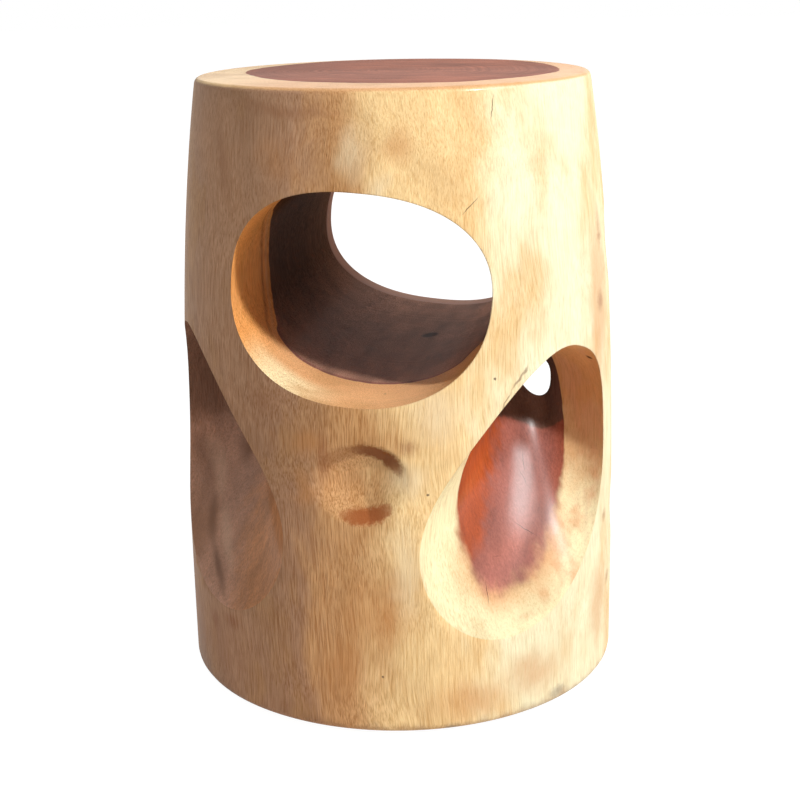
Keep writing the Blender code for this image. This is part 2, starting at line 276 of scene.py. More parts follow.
# Marks on the front dimple's rim: the first two rows are painted shade under its brow, and the last is a
# stain on its lip.
# Each row is a share of the dimple's size, thickness as a share of it, the direction and the reach
# in degrees, then strength and colour
DIMPLE_RIM_SHADE_AND_STAIN = (
    (0.92, 0.26, 58, 50, 0.95, (0.25, 0.075, 0.018)),
    (0.88, 0.26, 122, 44, 0.5, (0.33, 0.13, 0.045)),
    (0.88, 0.28, -78, 46, 0.95, (0.38, 0.11, 0.03)),
)
DIMPLE_RIM_MIDDLE = (8 * MM, 0.0, 188 * MM)
DIMPLE_RIM_HALF_SIZE = (31 * MM, 1.0, 27 * MM)
# Tints of single places
TINTS = {
    # Painted shade: sapwood high on the side away from the key lamp
    "high_shaded_dull_sapwood": (0.60, 0.345, 0.205),
    "far_wall": (0.80, 0.44, 0.19),
    "scuffed_wall": (0.78, 0.42, 0.22),
    "halo": (0.78, 0.33, 0.14),
    "seat_end": (0.97, 0.68, 0.36),
    # Painted sunlight on the tunnel's outer lip
    "painted_sunlit_lip": (0.97, 0.8, 0.48),
    "brown_line": (0.36, 0.13, 0.04),
    "pale_line": (0.72, 0.42, 0.22),
    # Painted sunlight on the heartwood at the tunnel's front lip
    "sunlit_lip_heartwood": (0.22, 0.07, 0.055),
    "inner_heartwood": (0.17, 0.06, 0.045),
    "heartwood_border": (0.3, 0.06, 0.018),
    # Painted shadow and shade high in the pockets
    "painted_shadow_heartwood": (0.105, 0.062, 0.045),
    "seat_heart_ends": (0.2, 0.075, 0.05),
    "back_rim": (0.72, 0.42, 0.34),
    "red_stain": (0.32, 0.1, 0.035),
    # Painted contact shade at the base
    "base_contact_shade": (0.36, 0.18, 0.1),
    "grey_smudge": (0.28, 0.22, 0.17),
    "bark_scar": (0.2, 0.1, 0.06),
    "dark_mark": (0.055, 0.022, 0.015),
    "worn_plastic": (0.16, 0.14, 0.12),
}
# Relief of the grain under the lacquer, and the rounding of edges that shading adds
PORE_RELIEF = -0.10 * MM
THREAD_RELIEF = 0.15 * MM
FINE_THREAD_RELIEF = 0.26 * MM
CARVING_RELIEF = 0.9 * MM
CRINKLE_RELIEF = 1.1 * MM
EDGE_EASE = 1.6 * MM

# Studio. Name, azimuth and height of each lamp seen from the stool, distance, size and power
LAMPS = (
    ("key_lamp", math.radians(65), math.radians(40), 2.6, 0.2, 58.0),
    ("side_lamp", math.radians(87), math.radians(38), 2.6, 0.4, 9.0),
    ("back_lamp", math.radians(-170), math.radians(25), 3.0, 2.0, 18.0),
    ("fill_lamp", math.radians(-60), math.radians(25), 3.0, 2.5, 2.5),
)
AIM_HEIGHT = 0.25
AMBIENT = 0.26
AMBIENT_COLOUR = (1.0, 0.97, 0.93, 1)
FLOOR_RADIUS = 12
FLOOR_SIDES = 96
FLOOR_COLOUR = (0.82, 0.8, 0.77, 1)
FLOOR_GLOW = 1.25
FLOOR_WHITE_SHARE = 0.78
# The camera's turn is in degrees about X, Y and Z
CAMERA_PLACE = (0.2512, -1.0961, 0.5309)
CAMERA_TURN = (73.614, 1.082, 12.543)
CAMERA_LENS = 67.99
SHARED = {}


def squared(angle, squareness):
    """Point of a rounded square of unit size, at an angle."""
    power = 2 / squareness
    across = math.copysign(abs(math.cos(angle)) ** power, math.cos(angle))
    along = math.copysign(abs(math.sin(angle)) ** power, math.sin(angle))
    return across, along


def trunk_radius_at(height, shape):
    """Radius of the outside of the trunk at a height."""
    share = height / shape.seat_height
    return shape.trunk_radius * (1 - TAPER_SHARE * share ** TAPER_POWER)


def make_active(piece):
    """Select one object alone, so that an operator acts on it and on nothing else."""
    if bpy.context.object and bpy.context.object.mode != "OBJECT":
        bpy.ops.object.mode_set(mode="OBJECT")
    bpy.ops.object.select_all(action="DESELECT")
    piece.select_set(True)
    bpy.context.view_layer.objects.active = piece


def add_new(add, **settings):
    """Add a primitive, lamp or camera with nothing else selected."""
    bpy.ops.object.select_all(action="DESELECT")
    add(**settings)
    return bpy.context.object


def settle(piece):
    """Write an object's place, turn and size into its mesh."""
    make_active(piece)
    bpy.ops.object.transform_apply(location=True, rotation=True, scale=True)


def finish_modifier(piece, kind, **settings):
    """Add one modifier, set it and apply it."""
    make_active(piece)
    bpy.ops.object.modifier_add(type=kind)
    modifier = piece.modifiers[-1]
    for name, value in settings.items():
        setattr(modifier, name, value)
    bpy.ops.object.modifier_apply(modifier=modifier.name)


def carve(piece, cutter):
    """Cut one object out of another, and throw the cutter away."""
    finish_modifier(piece, "BOOLEAN", operation="DIFFERENCE", solver="EXACT", object=cutter)
    bpy.data.objects.remove(cutter, do_unlink=True)


def face_outwards(piece):
    """Turn every face of a closed mesh outwards."""
    make_active(piece)
    bpy.ops.object.mode_set(mode="EDIT")
    bpy.ops.mesh.select_all(action="SELECT")
    bpy.ops.mesh.normals_make_consistent(inside=False)
    bpy.ops.object.mode_set(mode="OBJECT")


def trunk_rings(shape):
    """Radius and height of each ring of the trunk, from the base to the seat."""
    base = LOG_LOW.z
    seat = shape.seat_height
    rings = []
    for step in range(EASE_STEPS + 1):
        angle = math.pi / 2 * step / EASE_STEPS
        inset = BASE_EASE * (1 - math.sin(angle))
        height = base + BASE_EASE * (1 - math.cos(angle))
        rings.append((trunk_radius_at(height, shape) - inset, height))
    for step in range(1, TRUNK_RINGS):
        height = base + BASE_EASE + (seat - SEAT_EASE - base - BASE_EASE) * step / TRUNK_RINGS
        rings.append((trunk_radius_at(height, shape), height))
    for step in range(EASE_STEPS + 1):
        angle = math.pi / 2 * step / EASE_STEPS
        inset = SEAT_EASE * (1 - math.cos(angle))
        height = seat - SEAT_EASE * (1 - math.sin(angle))
        rings.append((trunk_radius_at(height, shape) - inset, height))
    return rings


def model_trunk(shape):
    """Extrude the trunk upwards from a disc, ring by ring."""
    rings = trunk_rings(shape)
    radius, height = rings[0]
    trunk = add_new(
        bpy.ops.mesh.primitive_circle_add,
        vertices=TRUNK_SIDES, radius=radius, fill_type="NGON", location=(0, 0, height),
    )
    trunk.name = "carved_log_wood"
    trunk.data.name = "carved_log_wood"
    settle(trunk)
    bpy.ops.object.mode_set(mode="EDIT")
    bpy.ops.mesh.select_all(action="SELECT")
    for next_radius, next_height in rings[1:]:
        rise = (0, 0, next_height - height)
        bpy.ops.mesh.extrude_region_move(TRANSFORM_OT_translate={"value": rise})
        scale = next_radius / radius
        bpy.ops.transform.resize(value=(scale, scale, 1), center_override=(0, 0, next_height))
        radius, height = next_radius, next_height
    bpy.ops.object.mode_set(mode="OBJECT")
    face_outwards(trunk)
    return trunk


def tunnel_cutter(shape):
    """Bar along Y with a rounded oval section, which cuts the tunnel."""
    cutter = add_new(
        bpy.ops.mesh.primitive_cylinder_add,
        vertices=TUNNEL_SIDES, radius=1, depth=2 * (shape.trunk_radius + OVERRUN),
    )
    for vertex in cutter.data.vertices:
        angle = math.atan2(vertex.co.y, vertex.co.x)
        across, along = squared(angle, TUNNEL_SQUARENESS)
        vertex.co.x = shape.tunnel_half_width * across
        vertex.co.y = shape.tunnel_half_height * along
    turn = Matrix.Rotation(math.pi / 2 + TUNNEL_RISE, 4, "X")
    turn = turn @ Matrix.Rotation(-shape.tunnel_lean, 4, "Z")
    place = Matrix.Translation((shape.tunnel_offset, 0, shape.tunnel_height))
    cutter.matrix_world = place @ turn
    settle(cutter)
    return cutter


def pocket_depth():
    """Depth of a pocket's bowl below its reference ring."""
    to_middle = POCKET_RING_RADIUS * math.cos(POCKET_AZIMUTH) + POCKET_OVERLAP
    return to_middle / (math.cos(POCKET_FACING) * math.cos(POCKET_DIP))


def pocket_placing(raise_by):
    """Matrix that turns the bowl's own axes to those of the right front pocket."""
    out = Vector((
        math.sin(POCKET_FACING) * math.cos(POCKET_DIP),
        -math.cos(POCKET_FACING) * math.cos(POCKET_DIP),
        -math.sin(POCKET_DIP),
    ))
    level = Vector((math.cos(POCKET_FACING), math.sin(POCKET_FACING), 0))
    steep = out.cross(level)
    across = math.cos(POCKET_LEAN) * level - math.sin(POCKET_LEAN) * steep
    along = math.sin(POCKET_LEAN) * level + math.cos(POCKET_LEAN) * steep
    turn = Matrix((across, along, out)).transposed().to_4x4()
    place = Matrix.Translation((
        POCKET_RING_RADIUS * math.sin(POCKET_AZIMUTH),
        -POCKET_RING_RADIUS * math.cos(POCKET_AZIMUTH),
        POCKET_RING_HEIGHT + raise_by,
    ))
    return place @ turn


def pocket_cutter(shape, side, end):
    """Egg-shaped bowl with a flared mouth. Side is 1 on the right, and end is 1 at the front."""
    depth = pocket_depth()
    cutter = add_new(
        bpy.ops.mesh.primitive_uv_sphere_add,
        segments=POCKET_SIDES, ring_count=POCKET_RINGS, radius=1,
    )
    for vertex in cutter.data.vertices:
        ring = math.hypot(vertex.co.x, vertex.co.y)
        across, along = squared(math.atan2(vertex.co.y, vertex.co.x), POCKET_SQUARENESS)
        rise = (1 + vertex.co.z) / 2 * (depth + POCKET_REACH)
        size = 0.0
        if ring > UNIT_TOLERANCE:
            share = rise / depth
            bowl = (1 - POCKET_FLARE_SHARE) * share ** POCKET_BOWL_POWER
            size = bowl + POCKET_FLARE_SHARE * share ** POCKET_FLARE_POWER
        narrowing = 1 - POCKET_EGG_SHARE * size * along
        vertex.co.x = shape.pocket_half_width * size * across * narrowing
        vertex.co.y = shape.pocket_half_length * size * along
        vertex.co.z = rise - depth
    raise_by = LEFT_POCKET_RAISE if side < 0 else 0.0
    mirror = Matrix.Diagonal((side, end, 1, 1))
    cutter.data.transform(mirror @ pocket_placing(raise_by))
    face_outwards(cutter)
    return cutter


def dimple_share(point, shape, dimple):
    """Place of a point in a dimple's oval as seen from outside: share of its rim, and angle."""
    azimuth, height, half_width, half_height = dimple[:4]
    radius = trunk_radius_at(height, shape)
    away = math.atan2(point.x, -point.y) - azimuth
    across = radius * away / half_width
    up = (point.z - height) / half_height
    on_same_side = math.cos(away) > 0
    return (math.hypot(across, up) if on_same_side else FAR_FROM_DIMPLE), math.atan2(up, across)


def press_dimple(trunk, shape, dimple):
    """Press a shallow dimple into the outside, steep along its crisp edges and soft elsewhere."""
    depth, crisp_edges = dimple[4:]
    make_active(trunk)
    bpy.ops.object.mode_set(mode="EDIT")
    bpy.ops.mesh.select_all(action="DESELECT")
    bpy.ops.object.mode_set(mode="OBJECT")
    for face in trunk.data.polygons:
        upright = abs(face.normal.z) < UPRIGHT_LIMIT
        face.select = upright and dimple_share(face.center, shape, dimple)[0] < DIMPLE_MARGIN
    bpy.ops.object.mode_set(mode="EDIT")
    bpy.ops.mesh.subdivide(number_cuts=DIMPLE_CUTS)
    bpy.ops.object.mode_set(mode="OBJECT")
    for vertex in trunk.data.vertices:
        share, angle = dimple_share(vertex.co, shape, dimple)
        if share >= 1:
            continue
        crisp = 0.0
        for towards, reach in crisp_edges:
            crisp = max(crisp, 1 - abs(math.remainder(angle - towards, 2 * math.pi)) / reach)
        power = SOFT_RIM_POWER + crisp * (CRISP_RIM_POWER - SOFT_RIM_POWER)
        sunk = depth * (1 - share ** 2) ** power
        outwards = Vector((vertex.co.x, vertex.co.y, 0)).normalized()
        vertex.co -= sunk * outwards


def glide_places():
    """Middle of each glide on the floor."""
    places = []
    for number in range(GLIDE_COUNT):
        angle = 2 * math.pi * (number + 0.5) / GLIDE_COUNT - math.pi / 2
        places.append(GLIDE_CIRCLE_RADIUS * Vector((math.cos(angle), math.sin(angle), 0)))
    return places


def round_cutter(place, radius, depth):
    """Upright round cutter that reaches from below the floor to a depth above it."""
    cutter = add_new(
        bpy.ops.mesh.primitive_cylinder_add,
        vertices=BORE_SIDES, radius=radius, depth=depth + OVERRUN,
        location=(place.x, place.y, (depth - OVERRUN) / 2),
    )
    settle(cutter)
    return cutter


def on_tunnel_wall(point, shape):
    """Whether a point lies on the tunnel's wall."""
    lean = shape.tunnel_lean
    side = point.x - shape.tunnel_offset
    rise = point.z - shape.tunnel_height - point.y * math.tan(TUNNEL_RISE)
    across = side * math.cos(lean) - rise * math.sin(lean)
    along = rise * math.cos(lean) + side * math.sin(lean)
    across = abs(across / shape.tunnel_half_width) ** TUNNEL_SQUARENESS
    along = abs(along / shape.tunnel_half_height) ** TUNNEL_SQUARENESS
    return abs((across + along) ** (1 / TUNNEL_SQUARENESS) - 1) < WALL_TOLERANCE_SHARE


def write_surface_kinds(piece, shape):
    """Store on each face whether it is wall of the tunnel or of a pocket, for the wood."""
    tunnel = []
    pocket = []
    for face in piece.data.polygons:
        point = face.center
        depth = trunk_radius_at(point.z, shape) - math.hypot(point.x, point.y)
        from_ends = min(point.z - LOG_LOW.z, shape.seat_height - point.z)
        carved = depth > OUTSIDE_TOLERANCE and from_ends > BASE_EASE + OUTSIDE_TOLERANCE
        in_tunnel = carved and on_tunnel_wall(point, shape)
        tunnel.append(float(in_tunnel))
        in_dimple = any(dimple_share(point, shape, row)[0] < DIMPLE_MARGIN for row in DIMPLES)
        pocket.append(float(carved and not in_tunnel and not in_dimple))
    for name, values in zip(SURFACE_KINDS, (tunnel, pocket)):
        attribute = piece.data.attributes.new(name, "FLOAT", "FACE")
        attribute.data.foreach_set("value", values)


class Nodes:
    """Adds nodes to one material, group or world, and links them."""

    def __init__(self, tree):
        self.tree = tree

    def feed(self, socket, value):
        """Give a socket either a fixed value or a link."""
        if isinstance(value, bpy.types.NodeSocket):
            self.tree.links.new(value, socket)
        else:
            socket.default_value = value

    def add(self, kind, *values, **settings):
        """Add a node, set it, and feed its first sockets."""
        node = self.tree.nodes.new("ShaderNode" + kind)
        for name, value in settings.items():
            setattr(node, name, value)
        for socket, value in zip(node.inputs, values):
            self.feed(socket, value)
        return node

    def use(self, group, **values):
        """Place a node group with its own values, and give its outputs."""
        node = self.add("Group", node_tree=group)
        for name, value in values.items():
            self.feed(node.inputs[name.replace("_", " ").title()], value)
        return node.outputs

    def math(self, operation, *values):
        """Work out one number from others."""
        return self.add("Math", *values, operation=operation).outputs[0]

    def times(self, result, *others):
        """Product of two or more numbers."""
        for value in others:
            result = self.math("MULTIPLY", result, value)
        return result

    def plus(self, first, second):
        """Sum of two numbers."""
        return self.math("ADD", first, second)

    def minus(self, first, second):
        """Difference of two numbers."""
        return self.math("SUBTRACT", first, second)

    def vector(self, operation, *values):
        """Work out one vector from others."""
        return self.add("VectorMath", *values, operation=operation).outputs["Vector"]

    def measure(self, operation, *values):
        """Work out one number from vectors."""
        return self.add("VectorMath", *values, operation=operation).outputs["Value"]

    def split(self, place):
        """Place as three numbers."""
        return self.add("SeparateXYZ", place).outputs

    def join(self, *values):
        """Three numbers as one vector."""
        return self.add("CombineXYZ", *values).outputs[0]

    def fade(self, value, zero_at, one_at, kind="SMOOTHSTEP"):
        """Mask that is 0 at one value and 1 at another."""
        return self.add("MapRange", value, zero_at, one_at, interpolation_type=kind).outputs[0]

    def edge(self, value, zero_at, one_at):
        """Mask that is 0 at one length in millimetres and 1 at another."""
        return self.fade(value, zero_at * MM, one_at * MM)

    def span(self, mask, low, high):
        """Number that runs from low to high as a mask runs from 0 to 1."""
        return self.add("MapRange", mask, 0.0, 1.0, low, high, clamp=False).outputs[0]

    def band(self, value, middle, half_width):
        """Mask that is 1 at one value and falls to 0 on both sides of it."""
        return self.fade(self.math("ABSOLUTE", self.minus(value, middle)), half_width, 0.0)

    def between(self, share, first, second):
        """Number between two others."""
        node = self.add("Mix", share, data_type="FLOAT")
        self.feed(node.inputs[2], first)
        self.feed(node.inputs[3], second)
        return node.outputs[0]

    def blend(self, share, *colours):
        """Colour between two others, as a vector: the renderer then keeps fewer values at once."""
        node = self.add("Mix", share, data_type="VECTOR")
        for socket, colour in zip(node.inputs[4:6], colours):
            self.feed(socket, colour if isinstance(colour, bpy.types.NodeSocket) else colour[:3])
        return node.outputs[1]

    def shade(self, colour, strength):
        """Colour made darker or lighter by a number."""
        node = self.add("VectorMath", colour, operation="SCALE")
        self.feed(node.inputs["Scale"], strength)
        return node.outputs[0]

    def stain(self, colour, mask, share):
        """Colour multiplied by a share of red, green and blue where a mask is 1."""
        return self.blend(mask, colour, self.vector("MULTIPLY", colour, share))

    def noise(self, place, size, detail, roughness):
        """Noise node with features of about a given size in metres."""
        node = self.add("TexNoise")
        for name, value in (
            ("Vector", place), ("Scale", 1 / size), ("Detail", detail), ("Roughness", roughness)
        ):
            self.feed(node.inputs[name], value)
        return node

    def cloud(self, place, size, detail=2.0, roughness=0.5):
        """Soft noise from 0 to 1."""
        return self.noise(place, size, detail, roughness).outputs[0]

    def drift(self, place, size, detail=2.0):
        """Noise as a vector about zero."""
        return self.vector("SUBTRACT", self.noise(place, size, detail, 0.5).outputs["Color"], (0.5,) * 3)

    def shifted(self, place, size, amount):
        """Place moved about by noise, so that what is drawn there has a ragged edge."""
        shift = self.vector("MULTIPLY", self.drift(place, size), (amount,) * 3)
        return self.vector("ADD", place, shift)

    def stretched(self, place, scale):
        """Coordinates scaled along each axis."""
        node = self.add("Mapping", place, vector_type="POINT")
        self.feed(node.inputs["Scale"], scale)
        return node.outputs[0]


def new_group(name, inputs, outputs):
    """Make a node group from its inputs' defaults and its outputs' names."""
    group = bpy.data.node_groups.new(name, "ShaderNodeTree")
    for label, default in inputs.items():
        kind = "NodeSocketFloat" if isinstance(default, float) else "NodeSocketVector"
        group.interface.new_socket(name=label, in_out="INPUT", socket_type=kind).default_value = default
    for label in outputs:
        group.interface.new_socket(name=label, in_out="OUTPUT", socket_type="NodeSocketFloat")
    n = Nodes(group)
    given = group.nodes.new("NodeGroupInput").outputs
    return n, given, group.nodes.new("NodeGroupOutput").inputs


def fibre_group():
    """Fibres of the wood, which run up the trunk: short dark pores, threads and mottling."""
    n, given, result = new_group(
        "wood_fibres",
        {"Place": NOWHERE, "Pore Width": 0.5 * MM, "Pore Length": 4.5 * MM, "Wander": 23 * MM},
        ("Pores", "Fine Threads", "Threads", "Mottling"),
    )
    wander = n.join(given["Wander"], given["Wander"])
    drift = n.vector("MULTIPLY", n.drift(given["Place"], 110 * MM, 1.0), wander)
    place = n.vector("ADD", given["Place"], drift)
    size = n.join(given["Pore Width"], given["Pore Width"], given["Pore Length"])
    fibres = n.vector("DIVIDE", place, size)
    n.feed(result["Pores"], n.fade(n.cloud(fibres, 1.0, 2.0, 0.55), 0.53, 0.7))
    fine = n.stretched(fibres, (0.66, 0.66, 0.24))
    n.feed(result["Fine Threads"], n.cloud(fine, 1.0, 1.0, 0.6))
    long = n.stretched(fibres, (0.36, 0.36, 0.09))
    n.feed(result["Threads"], n.cloud(long, 1.0, 3.0, 0.6))
    tall = n.stretched(place, (1.0, 1.0, 0.45))
    n.feed(result["Mottling"], n.cloud(tall, 38 * MM, 3.0, 0.55))
    return n.tree


def ring_group():
    """Growth rings, which follow the edge of the heartwood."""
    n, given, result = new_group(
        "growth_rings",
        {"Place": NOWHERE, "Heart Edge": 0.0, "Ring Width": 4 * MM, "Waviness": 4 * MM},
        ("Rings",),
    )
    wave = n.minus(n.cloud(given["Place"], 34 * MM, 1.0), 0.5)
    depth = n.plus(given["Heart Edge"], n.times(wave, given["Waviness"]))
    rings = n.add("TexNoise", noise_dimensions="1D")
    n.feed(rings.inputs["W"], n.math("DIVIDE", depth, given["Ring Width"]))
    n.feed(rings.inputs["Scale"], 1.0)
    n.feed(rings.inputs["Detail"], 2.0)
    n.feed(result["Rings"], rings.outputs[0])
    return n.tree


def mark_group():
    """Small oval mark in the wood, such as a knot, crack or stain."""
    n, given, result = new_group(
        "wood_mark",
        {
            "Place": NOWHERE, "Middle": NOWHERE, "Turn": NOWHERE,
            "Half Size": (MM, MM, MM), "Core Share": 0.5,
        },
        ("Mark",),
    )
    around = [given[name] for name in ("Place", "Middle", "Turn", "Half Size")]
    unit = n.add("Mapping", *around, vector_type="TEXTURE").outputs[0]
    # A gradient node takes the place as it comes, so the renderer keeps few values at once
    inwards = n.add("TexGradient", unit, gradient_type="SPHERICAL").outputs["Fac"]
    n.feed(result["Mark"], n.fade(inwards, 0.0, n.minus(1.0, given["Core Share"])))
    return n.tree


def rim_shade_and_stain_group():
    """Band along part of a dimple's rim, seen from the front, which draws both the painted shade under
    its brow and the stain on its lip.
    """
    n, given, result = new_group(
        "rim_stain",
        {
            "Place": NOWHERE, "Middle": NOWHERE, "Half Size": (MM, MM, MM), "Rim Share": 1.0,
            "Thickness Share": 0.1, "Towards": (0.0, 0.0, 1.0), "Reach": 0.7,
        },
        ("Stain",),
    )
    unit = n.add(
        "Mapping", given["Place"], given["Middle"], NOWHERE, given["Half Size"],
        vector_type="TEXTURE",
    ).outputs[0]
    flat = n.vector("MULTIPLY", unit, (1.0, 0.0, 1.0))
    off_rim = n.math("ABSOLUTE", n.minus(n.measure("LENGTH", flat), given["Rim Share"]))
    facing = n.measure("DOT_PRODUCT", n.vector("NORMALIZE", flat), given["Towards"])
    part = n.math("POWER", n.fade(facing, given["Reach"], 1.0), 0.5)
    thickness = n.times(given["Thickness Share"], part)
    band = n.fade(off_rim, thickness, n.times(thickness, 0.4))
    front = n.fade(n.split(given["Place"])["Y"], -120 * MM, -140 * MM)
    n.feed(result["Stain"], n.times(band, part, front))
    return n.tree


def scuff_group():
    """Fine scratches and dull patches on the small hard parts."""
    n, given, result = new_group(
        "fine_scuffs",
        {"Place": NOWHERE, "Scratch Size": 1 * MM, "Patch Size": 6 * MM},
        ("Scratches", "Patches"),
    )
    scratch, patch = given["Scratch Size"], given["Patch Size"]
    fine = n.vector("DIVIDE", given["Place"], n.join(scratch, n.times(scratch, 6.0), scratch))
    n.feed(result["Scratches"], n.fade(n.cloud(fine, 1.0, 3.0, 0.7), 0.6, 0.75))
    wide = n.vector("DIVIDE", given["Place"], n.join(patch, patch, patch))
    n.feed(result["Patches"], n.cloud(wide, 1.0))
    return n.tree


def outline_curve(n, turn_share, column):
    """Radius of the heartwood round the trunk, from one column of its outline."""
    node = n.add("FloatCurve")
    n.feed(node.inputs["Value"], turn_share)
    points = node.mapping.curves[0].points
    rows = [((row[0] + 180) / 360, row[column] * MM / RADIUS_SCALE) for row in HEARTWOOD_OUTLINE]
    points[0].location = rows[0]
    points[1].location = rows[-1]
    for row in rows[1:-1]:
        points.new(*row)
    node.mapping.update()
    return n.times(node.outputs[0], RADIUS_SCALE)


def heart_group():
    """How far each point lies inside the edge of the heartwood, in metres."""
    n, given, result = new_group(
        "heartwood_edge", {"Place": NOWHERE, "Seat Height": LOG_HIGH.z}, ("Heart Edge",)
    )
    across, deep, height = n.split(given["Place"])
    azimuth = n.math("ARCTAN2", across, n.times(deep, -1.0))
    turn_share = n.math("MULTIPLY_ADD", azimuth, 1 / (2 * math.pi), 0.5)
    seat_radius, tunnel_radius, low_radius = (
        outline_curve(n, turn_share, column) for column in (1, 2, 3)
    )
    at_low = n.fade(height, HEART_TUNNEL_HEIGHT, HEART_LOW_HEIGHT, "LINEAR")
    at_seat = n.fade(height, HEART_SEAT_FROM, given["Seat Height"])
    edge = n.between(at_seat, n.between(at_low, tunnel_radius, low_radius), seat_radius)
    distance = n.measure("LENGTH", n.vector("MULTIPLY", given["Place"], (1.0, 1.0, 0.0)))
    n.feed(result["Heart Edge"], n.minus(n.math("MINIMUM", edge, HEART_LIMIT), distance))
    return n.tree


def new_material(name):
    """Material with one Principled shader: it, its nodes, the shader's sockets and the place."""
    material = bpy.data.materials.new(name)
    material.use_nodes = True
    tree = material.node_tree
    shader = next(node for node in tree.nodes if node.type == "BSDF_PRINCIPLED")
    n = Nodes(tree)
    return material, n, shader.inputs, n.add("TexCoord").outputs["Object"]


def spot_box(middle, half_width, half_height, depth, lean=0, core=0.0):
    """Middle, turn, half size and core of an oval mark that faces outwards."""
    turn = (0.0, math.radians(lean), math.atan2(middle[0], -middle[1]))
    return MM * Vector(middle), turn, MM * Vector((half_width, depth, half_height)), core


def line_box(start, end, half_width, depth, core):
    """Middle, turn, half size and core of a thin mark from one point to another."""
    start, end = MM * Vector(start), MM * Vector(end)
    along = (end - start).normalized()
    middle = (start + end) / 2
    across = along.cross(Vector((middle.x, middle.y, 0)).normalized()).normalized()
    turn = Matrix((across, along.cross(across), along)).transposed().to_euler()
    return middle, turn, (MM * half_width, MM * depth, (end - start).length / 2), core


def marks(n, place, group, rows):
    """Strongest of several spots, or of several lines with two ends, at each point."""
    mask = None
    for row in rows:
        box = line_box if isinstance(row[1], tuple) else spot_box
        middle, turn, half_size, core = box(*row)
        mark = n.use(
            group, place=place, middle=middle, turn=turn, half_size=half_size, core_share=core
        )["Mark"]
        mask = mark if mask is None else n.math("MAXIMUM", mask, mark)
    return mask


def survey_log(n, place, groups):
    """What the colours and the lacquer both read: places, walls, fibres and heartwood."""
    log = SimpleNamespace(place=place)
    log.x, log.y, log.height = n.split(place)
    log.tunnel_wall, log.pocket_wall = (
        n.add("Attribute", attribute_name=name).outputs["Fac"] for name in SURFACE_KINDS
    )
    log.seat_face = n.fade(log.height, LOG_HIGH.z - 2.5 * MM, LOG_HIGH.z - 1 * MM)
    log.heart_edge = n.use(groups["heart"], place=place)["Heart Edge"]
    fibres = n.use(groups["fibres"], place=place)
    log.pores, log.fine_threads, log.threads, log.mottling = fibres
    log.rings = n.use(groups["rings"], place=place, heart_edge=log.heart_edge)["Rings"]
    log.feather = n.minus(n.cloud(n.stretched(place, (1.0, 1.0, 0.5)), 9 * MM), 0.5)

    # The heartwood's edge is crisp in the tunnel and on the seat, and soft low in the pockets
    low_pocket = n.times(log.pocket_wall, n.edge(log.height, 190, 120))
    ragged = n.times(log.feather, n.span(low_pocket, 2.5 * MM, 6 * MM))
    softness = n.span(low_pocket, 0.6 * MM, 3.5 * MM)
    heart = n.fade(n.plus(log.heart_edge, ragged), n.times(softness, -1.0), softness)
    log.left_side = n.edge(feathered(n, log, log.x, 20), -30, -55)
    log.left_pocket = n.times(log.left_side, log.pocket_wall)
    log.heart = n.math("MAXIMUM", heart, log.left_pocket)
    log.tunnel_low = n.edge(log.height, 300, 245)

    # How far round towards the key lamp's side: the sapwood is painted golden, then pale, towards it as
    # painted light, and dull away from it as painted shade
    log.towards_pale = n.measure("DOT_PRODUCT", place, LIT_SIDE / LOG_HIGH.x)
    log.from_pith = n.measure("LENGTH", n.stretched(place, (1.0, 1.0, 0.0)))
    turned = n.math("DIVIDE", log.towards_pale, n.math("DIVIDE", log.from_pith, LOG_HIGH.x))
    turned = n.plus(turned, n.span(log.mottling, -0.25, 0.25))
    log.golden_side = n.fade(turned, 0.44, 0.68)
    log.pale = n.fade(turned, 0.78, 1.02)
    log.dull_side = n.times(n.fade(turned, 0.44, 0.24), n.fade(turned, -0.8, -0.35))
    return log


def feathered(n, log, value, amount):
    """Length made uneven by up to half an amount in millimetres to each side."""
    return n.plus(value, n.times(log.feather, amount * MM))


def outside_sapwood(n, log, finish):
    """Sapwood outside: dull on the left as painted shade, golden in front and pale on the right as
    painted light from the key lamp's side.
    """
    dull = n.blend(
        n.edge(log.height, 330, 210), TINTS["high_shaded_dull_sapwood"], finish["dull_sapwood"]
    )
    colour = n.blend(log.dull_side, finish["sapwood"], dull)
    colour = n.blend(log.golden_side, colour, finish["golden_sapwood"])
    return n.blend(log.pale, colour, finish["pale_sapwood"])


def pocket_sapwood(n, log, finish):
    """Sapwood in the pockets: pale low down, brown high up as painted shade, scuffed on the far wall,
    and pale towards the key lamp and brown away from it as painted light and shade.
    """
    # Painted light and shade: pale on the side towards the key lamp, brown away from it
    sunlit = n.fade(log.towards_pale, -0.1, 0.5)
    colour = n.blend(sunlit, finish["pocket_brown_sapwood"], finish["pocket_sapwood"])
    # Painted shade high on the pocket walls
    high = n.edge(feathered(n, log, log.height, 60), 182, 222)
    colour = n.blend(high, colour, finish["pocket_wall_sapwood"])
    far_wall = n.edge(log.x, 104, 122)
    tan = n.edge(feathered(n, log, log.height, 40), 132, 182)
    colour = n.blend(n.times(tan, far_wall, 0.75), colour, TINTS["far_wall"])
    scuffed = n.cloud(n.stretched(log.place, (1.0, 1.0, 0.7)), 20 * MM, 2.0, 0.6)
    scuffed = n.times(n.fade(scuffed, 0.46, 0.68), far_wall, 0.7)
    colour = n.blend(scuffed, colour, TINTS["scuffed_wall"])
    halo = n.times(
        n.edge(log.heart_edge, -11, 0), n.edge(log.height, 150, 108),
        n.span(log.mottling, 0.1, 1.2),
    )
    return n.blend(halo, colour, TINTS["halo"])


